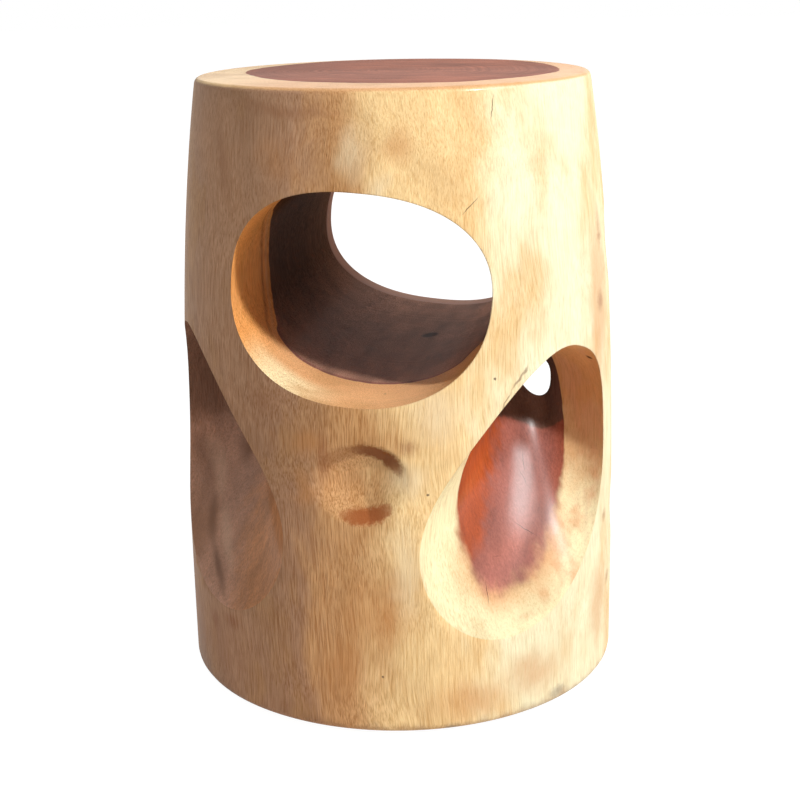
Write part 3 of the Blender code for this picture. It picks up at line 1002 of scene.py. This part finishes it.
def tunnel_sapwood(n, log, finish):
    """Sapwood at the tunnel's mouths: orange on the sides and paler on the lip below, with painted
    sunlight on the lip's outer part on the left.
    """
    # Painted sunlight on the outer part of the lip, on the left
    outer = n.times(n.edge(log.heart_edge, -20, -40), n.edge(log.x, 0, -50))
    lip = n.blend(outer, finish["lip_sapwood"], TINTS["painted_sunlit_lip"])
    return n.blend(n.edge(log.height, 285, 255), finish["tunnel_sapwood"], lip)


def sapwood_colour(n, log, finish):
    """All of the sapwood, with its grain."""
    seat_end = n.edge(log.x, -40, -115)
    on_seat = n.blend(seat_end, finish["seat_sapwood"], TINTS["seat_end"])
    colour = outside_sapwood(n, log, finish)
    colour = n.blend(log.pocket_wall, colour, pocket_sapwood(n, log, finish))
    colour = n.blend(log.seat_face, colour, on_seat)
    colour = n.blend(log.tunnel_wall, colour, tunnel_sapwood(n, log, finish))
    side_wall = n.times(log.tunnel_wall, n.edge(log.height, 262, 285))
    for tint, depth, strength in (("brown_line", -8, 0.6), ("pale_line", -3.5, 0.5)):
        line = n.band(log.heart_edge, depth * MM, 2.5 * MM)
        colour = n.blend(n.times(line, side_wall, strength), colour, TINTS[tint])
    colour = n.shade(colour, n.span(log.mottling, 0.78, 1.2))
    colour = n.shade(colour, n.span(log.rings, 0.9, 1.1))
    dark_streaks = n.times(n.fade(log.threads, 0.54, 0.3), n.span(log.pale, 0.6, 0.35))
    colour = n.stain(colour, dark_streaks, (0.86, 0.74, 0.6))
    colour = n.shade(colour, n.span(log.threads, 0.9, 1.1))
    golden = n.times(n.fade(log.mottling, 0.52, 0.35), n.span(log.golden_side, 1.0, 0.5), 0.35)
    return n.blend(golden, colour, finish["golden_blotches"])


def tunnel_heartwood(n, log, finish):
    """Heartwood in the tunnel: paler on its floor, and redder at the front lip. The dark walls are
    painted shade, the floor's brightening towards the back and the right is painted light, and the red
    lip is painted sunlight.
    """
    low = log.tunnel_low
    # Painted shade: the walls above the floor are far darker than the wood's own colour
    colour = n.blend(low, finish["tunnel_heartwood"], finish["tunnel_floor_heartwood"])
    # Painted light: brighter towards the back and the right
    colour = n.shade(colour, n.span(n.edge(log.y, -20, 110), 0.9, 1.35))
    colour = n.shade(colour, n.span(n.edge(log.x, 20, 70), 1.0, 1.25))
    # Painted sunlight: a redder strip of heartwood at the front lip
    at_lip = n.times(
        n.edge(log.heart_edge, 6, 1), n.edge(log.y, -40, -70), low, 0.8
    )
    return n.blend(at_lip, colour, TINTS["sunlit_lip_heartwood"])


def pocket_heartwood(n, log, finish):
    """Heartwood in the pockets: orange at the mouth, red inside, with painted shadow high in the right
    pocket and painted shade high and at the front of the left pockets.
    """
    inwards = feathered(n, log, n.math("ABSOLUTE", log.x), 16)
    inwards = n.minus(inwards, n.span(n.edge(log.height, 135, 110), 0.0, -10 * MM))
    mouth = n.edge(inwards, 90, 76)
    colour = n.blend(mouth, finish["pocket_heartwood"], finish["pocket_mouth_heartwood"])
    inner = n.edge(feathered(n, log, log.x, 14), 108, 122)
    inner = n.times(inner, n.edge(log.height, 118, 140), 0.6)
    colour = n.blend(inner, colour, TINTS["inner_heartwood"])
    border = n.times(
        n.edge(log.heart_edge, 14, 0), 0.45, n.edge(log.height, 108, 128)
    )
    colour = n.blend(border, colour, TINTS["heartwood_border"])
    # Painted shade: the left pockets' front part takes the shaded pocket sapwood
    near_front = n.edge(feathered(n, log, log.x, 24), -112, -78)
    near_front = n.times(near_front, n.edge(log.height, 172, 148))
    left = n.blend(near_front, finish["left_pocket_heartwood"], finish["pocket_brown_sapwood"])
    colour = n.blend(log.left_side, colour, left)
    # Painted shadow: dark above a curved line high in the right pocket, where its rim's shadow falls,
    # and painted shade high in the left pockets
    off_window = n.math("ABSOLUTE", n.minus(log.x, 113 * MM))
    limit = feathered(n, log, n.minus(log.height, n.times(off_window, 0.5)), 5)
    right_painted_shadow = n.times(n.edge(limit, 184.5, 187), 0.85)
    left_painted_shade = n.times(n.edge(log.height, 174, 198), 0.55)
    return n.blend(
        n.between(log.left_side, right_painted_shadow, left_painted_shade), colour, TINTS["painted_shadow_heartwood"]
    )


def heartwood_colour(n, log, finish):
    """All of the heartwood, with its figure and rings."""
    colour = n.blend(log.pocket_wall, finish["seat_heartwood"], pocket_heartwood(n, log, finish))
    colour = n.blend(log.tunnel_wall, colour, tunnel_heartwood(n, log, finish))
    colour = n.shade(colour, n.span(log.threads, 0.6, 1.4))
    fine = n.times(n.span(log.fine_threads, -0.35, 0.35), log.tunnel_wall)
    colour = n.shade(colour, n.plus(fine, 1.0))
    stretch = n.join(1.0, n.span(log.left_side, 0.3, 1.0), 0.14)
    broad = n.cloud(n.stretched(log.place, stretch), 15 * MM)
    figure = n.cloud(n.stretched(log.place, (0.35, 1.0, 1.0)), 17 * MM, 4.0, 0.65)
    darkest, lightest = n.span(log.left_side, 0.4, 0.7), n.span(log.left_side, 1.6, 1.3)
    colour = n.shade(colour, n.span(n.between(log.seat_face, broad, figure), darkest, lightest))
    seat_ends = n.edge(n.math("ABSOLUTE", n.minus(log.x, 5 * MM)), 45, 112)
    colour = n.blend(n.times(seat_ends, log.seat_face, 0.4), colour, TINTS["seat_heart_ends"])
    ring_shade = n.times(n.minus(log.rings, 0.5), n.span(log.seat_face, 0.3, 0.65))
    colour = n.shade(colour, n.plus(ring_shade, 1.0))
    return n.shade(colour, n.span(log.mottling, 0.75, 1.25))


def add_threads(n, log, colour):
    """Fine dark and light threads over all the wood, and the tunnel's pale back rim."""
    fine = n.times(
        n.span(log.pocket_wall, 1.0, 0.45), n.span(log.pale, 1.0, 0.4),
        n.span(n.edge(log.height, 330, 400), 1.0, 0.6),
        n.span(log.dull_side, 1.0, 0.9), n.span(log.golden_side, 1.35, 0.75),
    )
    dark = n.times(n.fade(log.fine_threads, 0.52, 0.3), fine)
    colour = n.stain(colour, dark, (0.8, 0.71, 0.61))
    light = n.times(n.fade(log.fine_threads, 0.5, 0.7), fine)
    colour = n.stain(colour, light, (1.12, 1.16, 1.21))
    back_rim = n.times(
        n.edge(log.from_pith, 144, 147), n.edge(log.y, 40, 80),
        log.tunnel_wall, 0.85,
    )
    return n.blend(back_rim, colour, TINTS["back_rim"])


def add_patches(n, log, groups, colour):
    """Streaks in the left front pocket, the light ones a painted highlight, pores, and broad patches of
    tone outside, one of them painted shade under the seat's rim.
    """
    def uneven(least, most, strength):
        return n.span(log.threads, least * strength, most * strength)

    streaked = n.shifted(log.place, 14 * MM, 4 * MM)
    # The light streaks are a painted highlight
    for rows, tint, strength in STREAKS:
        mask = n.times(marks(n, streaked, groups["mark"], rows), log.left_pocket)
        colour = n.blend(n.times(mask, uneven(0.5, 1.5, strength)), colour, tint)
    pores = n.times(log.pores, n.span(log.golden_side, 0.2, 0.1))
    colour = n.stain(colour, pores, (0.62, 0.47, 0.34))
    outside = n.minus(1.0, log.tunnel_wall)
    cloudy = n.shifted(log.place, 30 * MM, 24 * MM)
    for rows, tint, strength in PATCHES:
        mask = n.times(marks(n, cloudy, groups["mark"], rows), outside)
        colour = n.blend(n.times(mask, uneven(0.4, 1.6, strength)), colour, tint)
    return colour


def add_marks(n, log, groups, colour):
    """Red stains, painted contact shade at the base, painted shade under the front dimple's brow and a
    stain on its lip, scars, knots and cracks.
    """
    place, mark = log.place, groups["mark"]
    squeezed = n.shifted(n.stretched(place, (1.0, 1.0, 0.7)), 3 * MM, 1 * MM)
    furry = n.shifted(n.vector("MULTIPLY", squeezed, (1.0, 1.0, 1 / 0.7)), 2.5 * MM, 5 * MM)
    red = marks(n, furry, mark, RED_STAINS)
    colour = n.blend(n.times(red, 0.5), colour, TINTS["red_stain"])
    # Painted contact shade: darker towards the bottom edge
    base = n.edge(feathered(n, log, log.height, 14), 12, 2)
    colour = n.blend(n.times(base, 0.5), colour, TINTS["base_contact_shade"])
    grey = marks(n, furry, mark, GREY_SMUDGES)
    colour = n.blend(n.times(grey, 0.6), colour, TINTS["grey_smudge"])
    # The first two rim bands are painted shade under the dimple's brow, the last a stain on its lip
    for rim_share, thickness, towards, reach, strength, tint in DIMPLE_RIM_SHADE_AND_STAIN:
        angle = math.radians(towards)
        stain = n.use(
            groups["rim_stain"], place=furry, middle=DIMPLE_RIM_MIDDLE,
            half_size=DIMPLE_RIM_HALF_SIZE, rim_share=rim_share, thickness_share=thickness,
            towards=(math.cos(angle), 0.0, math.sin(angle)), reach=math.cos(math.radians(reach)),
        )["Stain"]
        colour = n.blend(n.times(stain, strength), colour, tint)
    scars = marks(n, n.shifted(place, 6 * MM, 4 * MM), mark, BARK_SCARS)
    colour = n.blend(n.times(scars, 0.65), colour, TINTS["bark_scar"])
    spots = marks(n, n.shifted(place, 2.5 * MM, 1.5 * MM), mark, DARK_SPOTS)
    cracks = marks(n, n.shifted(place, 7 * MM, 3 * MM), mark, CRACKS)
    dark = n.times(n.math("MAXIMUM", spots, cracks), 0.85)
    return n.blend(dark, colour, TINTS["dark_mark"])


def add_lacquer(n, log, sockets, finish):
    """Satin lacquer, glossier over the dense heartwood, with the grain felt through it."""
    heart_wall = n.times(log.heart, log.pocket_wall)
    rough = n.plus(n.span(heart_wall, 0.5, 0.34), n.times(log.pores, 0.12))
    n.feed(sockets["Roughness"], rough)
    n.feed(sockets["Coat Roughness"], finish["coat_roughness"])
    n.feed(sockets["Specular IOR Level"], 0.0)
    far_wall = n.edge(log.x, 104, 116)
    gloss = n.times(heart_wall, n.span(log.left_side, 1.0, 0.1), n.span(far_wall, 1.0, 0.25))
    coat = n.span(gloss, 0.4 * finish["coat"], 1.4 * finish["coat"])
    pocket_share = n.minus(0.7, n.times(log.heart, 0.7))
    tunnel_share = n.times(log.tunnel_wall, n.span(log.tunnel_low, 1.0, 0.88))
    coat = n.times(
        coat, n.minus(1.0, n.times(log.pocket_wall, pocket_share)),
        n.span(tunnel_share, 1.0, 0.1), n.span(n.times(log.seat_face, log.heart), 1.0, 0.45),
    )
    n.feed(sockets["Coat Weight"], coat)
    hand_carved = n.cloud(n.stretched(log.place, (1.0, 1.0, 0.5)), 16 * MM, 1.0)
    crinkle = n.cloud(n.stretched(log.place, (1.0, 1.0, 0.6)), 3.5 * MM)
    relief = n.times(log.pores, PORE_RELIEF)
    for height, amount in (
        (log.threads, THREAD_RELIEF), (log.fine_threads, FINE_THREAD_RELIEF),
        (hand_carved, CARVING_RELIEF), (n.times(crinkle, gloss), CRINKLE_RELIEF),
    ):
        relief = n.plus(relief, n.times(height, amount))
    eased = n.add("Bevel", EDGE_EASE, samples=6).outputs[0]
    bump = n.add("Bump", 1.0, 1.0)
    n.feed(bump.inputs["Normal"], eased)
    n.feed(bump.inputs["Height"], relief)
    n.feed(sockets["Normal"], bump.outputs[0])


def wood_material(finish, groups):
    """Lacquered wood: pale sapwood round dark heartwood, with fibres, rings and marks."""
    material, n, sockets, place = new_material("lacquered_wood")
    log = survey_log(n, place, groups)
    sapwood, heartwood = sapwood_colour(n, log, finish), heartwood_colour(n, log, finish)
    colour = add_threads(n, log, n.blend(log.heart, sapwood, heartwood))
    colour = add_patches(n, log, groups, colour)
    n.feed(sockets["Base Color"], add_marks(n, log, groups, colour))
    add_lacquer(n, log, sockets, finish)
    return material


def hard_material(name, groups, scratch_size, patch_size, relief):
    """Material of a small hard part, whose scratches show in its relief."""
    material, n, sockets, place = new_material(name)
    scuffs = n.use(
        groups["scuffs"], place=place, scratch_size=scratch_size, patch_size=patch_size
    )
    bump = n.add("Bump")
    n.feed(bump.inputs["Distance"], relief)
    n.feed(bump.inputs["Height"], scuffs["Scratches"])
    n.feed(sockets["Normal"], bump.outputs[0])
    return material, n, sockets, place, scuffs


def plastic_material(colour, groups):
    """Matt moulded plastic of the glides, worn where it stands on the floor."""
    material, n, sockets, place, scuffs = hard_material(
        "glide_plastic", groups, 0.8 * MM, 6 * MM, 0.05 * MM
    )
    worn = n.fade(n.split(place)["Z"], 1.2 * MM, 0.2 * MM)
    worn = n.times(worn, scuffs["Scratches"], 0.6)
    shade = n.shade(colour[:3], n.span(scuffs["Patches"], 0.75, 1.25))
    n.feed(sockets["Base Color"], n.blend(worn, shade, TINTS["worn_plastic"]))
    n.feed(sockets["Roughness"], n.span(scuffs["Patches"], 0.45, 0.65))
    return material


def steel_material(colour, groups):
    """Zinc-plated steel of the screws."""
    material, n, sockets, place, scuffs = hard_material(
        "screw_steel", groups, 0.3 * MM, 2 * MM, 0.02 * MM
    )
    n.feed(sockets["Base Color"], n.shade(colour[:3], n.span(scuffs["Patches"], 0.8, 1.15)))
    n.feed(sockets["Roughness"], n.span(scuffs["Patches"], 0.22, 0.42))
    n.feed(sockets["Metallic"], 1.0)
    return material


def show_white(n, lit, white, share, output):
    """Put white in a shader's place where the camera, a gloss or glass sees it."""
    rays = n.add("LightPath").outputs
    seen = n.math("MAXIMUM", rays["Is Camera Ray"], rays["Is Glossy Ray"])
    seen = n.math("MAXIMUM", seen, rays["Is Transmission Ray"])
    mix = n.add("MixShader", n.times(seen, share), lit.outputs[0], white.outputs[0])
    n.feed(n.add(output).inputs["Surface"], mix.outputs[0])


def floor_material():
    """Pale studio floor that looks white to the camera and keeps a soft shadow."""
    material = bpy.data.materials.new("studio_floor")
    material.use_nodes = True
    material.node_tree.nodes.clear()
    n = Nodes(material.node_tree)
    glow = n.add("Emission", (1, 1, 1, 1), FLOOR_GLOW)
    show_white(n, n.add("BsdfDiffuse", FLOOR_COLOUR), glow, FLOOR_WHITE_SHARE, "OutputMaterial")
    return material


def shared_groups():
    """The shared node groups, built at the first call."""
    if not SHARED:
        SHARED.update(
            fibres=fibre_group(), heart=heart_group(), rings=ring_group(),
            mark=mark_group(), rim_stain=rim_shade_and_stain_group(), scuffs=scuff_group(),
        )
    return SHARED


def wear_material(kind, material):
    """Give each CAD node of one kind a material in place of its own."""
    for number in range(1, GLIDE_COUNT + 1):
        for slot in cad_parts[f"{kind}_{number}"].material_slots:
            slot.material = material


def length_property(label, description, length, least, most):
    """Length that a user can change."""
    return bpy.props.FloatProperty(
        name=label, description=description, default=length, min=least, max=most, unit="LENGTH",
    )


def colour_property(label, description, colour):
    """Colour that a user can pick."""
    return bpy.props.FloatVectorProperty(
        name=label, description=description, default=(*colour, 1), size=4, min=0, max=1,
        subtype="COLOR",
    )


def share_property(label, description, share):
    """Number from 0 to 1 that a user can change."""
    return bpy.props.FloatProperty(
        name=label, description=description, default=share, min=0, max=1,
    )


class StoolShape(bpy.types.PropertyGroup):
    """Sizes of the log and of what is carved into it"""

    seat_height: length_property(
        "Seat Height", "Height of the seat above the floor", LOG_HIGH.z, 0.3, 0.6
    )
    trunk_radius: length_property(
        "Trunk Radius", "Radius of the trunk where it is widest", LOG_HIGH.x, 0.12, 0.25
    )
    tunnel_half_width: length_property(
        "Tunnel Half Width", "Half the width of the tunnel", 0.09, 0.05, 0.12
    )
    tunnel_half_height: length_property(
        "Tunnel Half Height", "Half the height of the tunnel", 0.071, 0.04, 0.1
    )
    tunnel_height: length_property(
        "Tunnel Height", "Height of the middle of the tunnel", 0.3145, 0.25, 0.4
    )
    tunnel_offset: length_property(
        "Tunnel Offset", "How far the tunnel lies to the right of the middle", 0.004, -0.03, 0.03
    )
    tunnel_lean: bpy.props.FloatProperty(
        name="Tunnel Lean", description="Turn of the tunnel's oval, down on the right",
        default=math.radians(5), min=-0.5, max=0.5, subtype="ANGLE",
    )
    pocket_half_width: length_property(
        "Pocket Half Width", "Half the width of each pocket's mouth", 0.064, 0.04, 0.08
    )
    pocket_half_length: length_property(
        "Pocket Half Length", "Half the length of each pocket's mouth", 0.081, 0.05, 0.1
    )


class StoolFinish(bpy.types.PropertyGroup):
    """Colours of the wood and of the small parts"""

    sapwood: colour_property("Sapwood", "Wood on the outside", (0.70, 0.38, 0.17))
    # Painted light and shade: the pale, golden and dull sides are the sapwood lit towards the key lamp
    # and shaded away from it
    pale_sapwood: colour_property("Pale Side", "Wood on the paler right side", (0.87, 0.79, 0.54))
    dull_sapwood: colour_property("Dull Side", "Wood on the duller left side", (0.53, 0.29, 0.165))
    golden_sapwood: colour_property(
        "Golden Side", "Wood between the brown and the pale side", (0.96, 0.68, 0.34)
    )
    golden_blotches: colour_property("Blotches", "Warmer patches outside", (0.66, 0.34, 0.12))
    tunnel_sapwood: colour_property(
        "Tunnel Sapwood", "Pale wood at the tunnel's mouths", (0.88, 0.41, 0.13)
    )
    lip_sapwood: colour_property(
        "Lip Sapwood", "Pale wood low at the tunnel's mouths", (0.86, 0.48, 0.22)
    )
    # Painted light: the pockets' sapwood towards the key lamp
    pocket_sapwood: colour_property(
        "Pocket Sapwood", "Pale wood low in the pockets", (0.9, 0.8, 0.5)
    )
    # Painted shade: the pockets' sapwood away from the key lamp
    pocket_brown_sapwood: colour_property(
        "Brown Pocket Sapwood", "Pale wood low in the browner pockets", (0.64, 0.285, 0.125)
    )
    # Painted shade: the pockets' sapwood high on their walls
    pocket_wall_sapwood: colour_property(
        "Pocket Wall", "Pale wood high in the pockets", (0.66, 0.27, 0.10)
    )
    seat_sapwood: colour_property("Seat Sapwood", "Pale wood of the seat", (0.84, 0.48, 0.235))
    seat_heartwood: colour_property("Seat Heartwood", "Dark wood of the seat", (0.37, 0.122, 0.068))
    # Painted shade: the tunnel's walls, darker than the wood's own colour
    tunnel_heartwood: colour_property(
        "Tunnel Heartwood", "Dark wood of the tunnel", (0.14, 0.066, 0.034)
    )
    tunnel_floor_heartwood: colour_property(
        "Tunnel Floor", "Dark wood of the tunnel's floor", (0.37, 0.19, 0.13)
    )
    pocket_heartwood: colour_property(
        "Pocket Heartwood", "Dark wood deep in the pockets", (0.35, 0.12, 0.09)
    )
    pocket_mouth_heartwood: colour_property(
        "Pocket Mouth", "Dark wood near the pockets' mouths", (0.46, 0.085, 0.02)
    )
    left_pocket_heartwood: colour_property(
        "Left Pocket Heartwood", "Dull brown wood of the left pockets", (0.61, 0.33, 0.22)
    )
    glide: colour_property("Glide", "Plastic of the floor glides", (0.05, 0.045, 0.04))
    screw: colour_property("Screw", "Metal of the screws", (0.62, 0.62, 0.6))
    coat: share_property("Lacquer", "Strength of the lacquer's shine", 0.6)
    coat_roughness: share_property("Lacquer Dullness", "How dull the lacquer is", 0.2)


def names_of(settings):
    """Names of what a user can change in one group of settings."""
    return [name for name in settings.bl_rna.properties.keys() if name not in ("rna_type", "name")]


def finish_values(context):
    """The finish's colours and numbers as plain values."""
    finish = context.scene.stool_finish
    values = {name: getattr(finish, name) for name in names_of(finish)}
    return {
        name: value if isinstance(value, float) else tuple(value) for name, value in values.items()
    }


class OBJECT_OT_stool_log(bpy.types.Operator):
    """Model and finish the carved log"""

    bl_idname = "object.stool_log"
    bl_label = "Carved Log"

    def execute(self, context):
        shape = context.scene.stool_shape
        log = model_trunk(shape)
        for dimple in DIMPLES:
            press_dimple(log, shape, dimple)
        carve(log, tunnel_cutter(shape))
        for side, end in ((1, 1), (1, -1), (-1, 1), (-1, -1)):
            carve(log, pocket_cutter(shape, side, end))
        for place in glide_places():
            carve(log, round_cutter(place, GLIDE_SEAT_RADIUS, GLIDE_SEAT_DEPTH))
            carve(log, round_cutter(place, SCREW_BORE_RADIUS, SCREW_BORE_DEPTH))
        make_active(log)
        bpy.ops.object.shade_smooth_by_angle(angle=SMOOTH_ANGLE)
        write_surface_kinds(log, shape)
        log.data.materials.clear()
        log.data.materials.append(wood_material(finish_values(context), shared_groups()))
        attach(log, "root")
        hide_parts("carved_log")
        return {"FINISHED"}


class OBJECT_OT_stool_glides(bpy.types.Operator):
    """Finish the floor glides and their screws"""

    bl_idname = "object.stool_glides"
    bl_label = "Glides and Screws"

    def execute(self, context):
        finish = finish_values(context)
        wear_material("glide", plastic_material(finish["glide"], shared_groups()))
        wear_material("glide_screw", steel_material(finish["screw"], shared_groups()))
        return {"FINISHED"}


class OBJECT_OT_stool_studio(bpy.types.Operator):
    """Set up the floor, the lights and the camera"""

    bl_idname = "object.stool_studio"
    bl_label = "Studio"

    def execute(self, context):
        add_floor()
        add_world(context.scene)
        for lamp in LAMPS:
            add_lamp(*lamp)
        add_camera(context.scene)
        context.scene.view_settings.view_transform = "Standard"
        return {"FINISHED"}


class VIEW3D_PT_stool(bpy.types.Panel):
    """Sizes, colours and steps of the stool"""

    bl_idname = "VIEW3D_PT_stool"
    bl_label = "Carved Log Stool"
    bl_space_type = "VIEW_3D"
    bl_region_type = "UI"
    bl_category = "Stool"

    def draw(self, context):
        for settings in (context.scene.stool_shape, context.scene.stool_finish):
            column = self.layout.column(align=True)
            for name in names_of(settings):
                column.prop(settings, name)
        column = self.layout.column(align=True)
        for step in STEPS:
            column.operator(step.bl_idname)


STEPS = (OBJECT_OT_stool_log, OBJECT_OT_stool_glides, OBJECT_OT_stool_studio)
CLASSES = (StoolShape, StoolFinish, *STEPS, VIEW3D_PT_stool)


def add_floor():
    """Wide pale floor."""
    floor = add_new(
        bpy.ops.mesh.primitive_circle_add,
        vertices=FLOOR_SIDES, radius=FLOOR_RADIUS, fill_type="NGON",
    )
    floor.name = "studio_floor"
    floor.data.materials.append(floor_material())


def add_world(scene):
    """White surroundings that light the stool softly."""
    world = bpy.data.worlds.new("studio")
    scene.world = world
    world.use_nodes = True
    world.node_tree.nodes.clear()
    n = Nodes(world.node_tree)
    ambient = n.add("Background", AMBIENT_COLOUR, AMBIENT)
    show_white(n, ambient, n.add("Background", (1, 1, 1, 1), 1.0), 1.0, "OutputWorld")


def add_lamp(name, azimuth, rise, distance, size, power):
    """Square soft lamp that looks at the middle of the stool."""
    outwards = Vector((
        math.sin(azimuth) * math.cos(rise), -math.cos(azimuth) * math.cos(rise), math.sin(rise)
    ))
    place = outwards * distance + Vector((0, 0, AIM_HEIGHT))
    lamp = add_new(bpy.ops.object.light_add, type="AREA", location=place)
    lamp.name = name
    lamp.rotation_euler = outwards.to_track_quat("Z", "Y").to_euler()
    lamp.data.energy = power
    lamp.data.size = size


def add_camera(scene):
    """Camera at the photo's place."""
    turn = [math.radians(angle) for angle in CAMERA_TURN]
    camera = add_new(bpy.ops.object.camera_add, location=CAMERA_PLACE, rotation=turn)
    camera.data.lens = CAMERA_LENS
    scene.camera = camera


def register():
    for kind in CLASSES:
        bpy.utils.register_class(kind)
    bpy.types.Scene.stool_shape = bpy.props.PointerProperty(type=StoolShape)
    bpy.types.Scene.stool_finish = bpy.props.PointerProperty(type=StoolFinish)


def unregister():
    del bpy.types.Scene.stool_finish
    del bpy.types.Scene.stool_shape
    for kind in reversed(CLASSES):
        bpy.utils.unregister_class(kind)


def main():
    """Build the stool."""
    register()
    bpy.ops.object.stool_log()
    bpy.ops.object.stool_glides()
    bpy.ops.object.stool_studio()


if __name__ == "__main__":
    main()
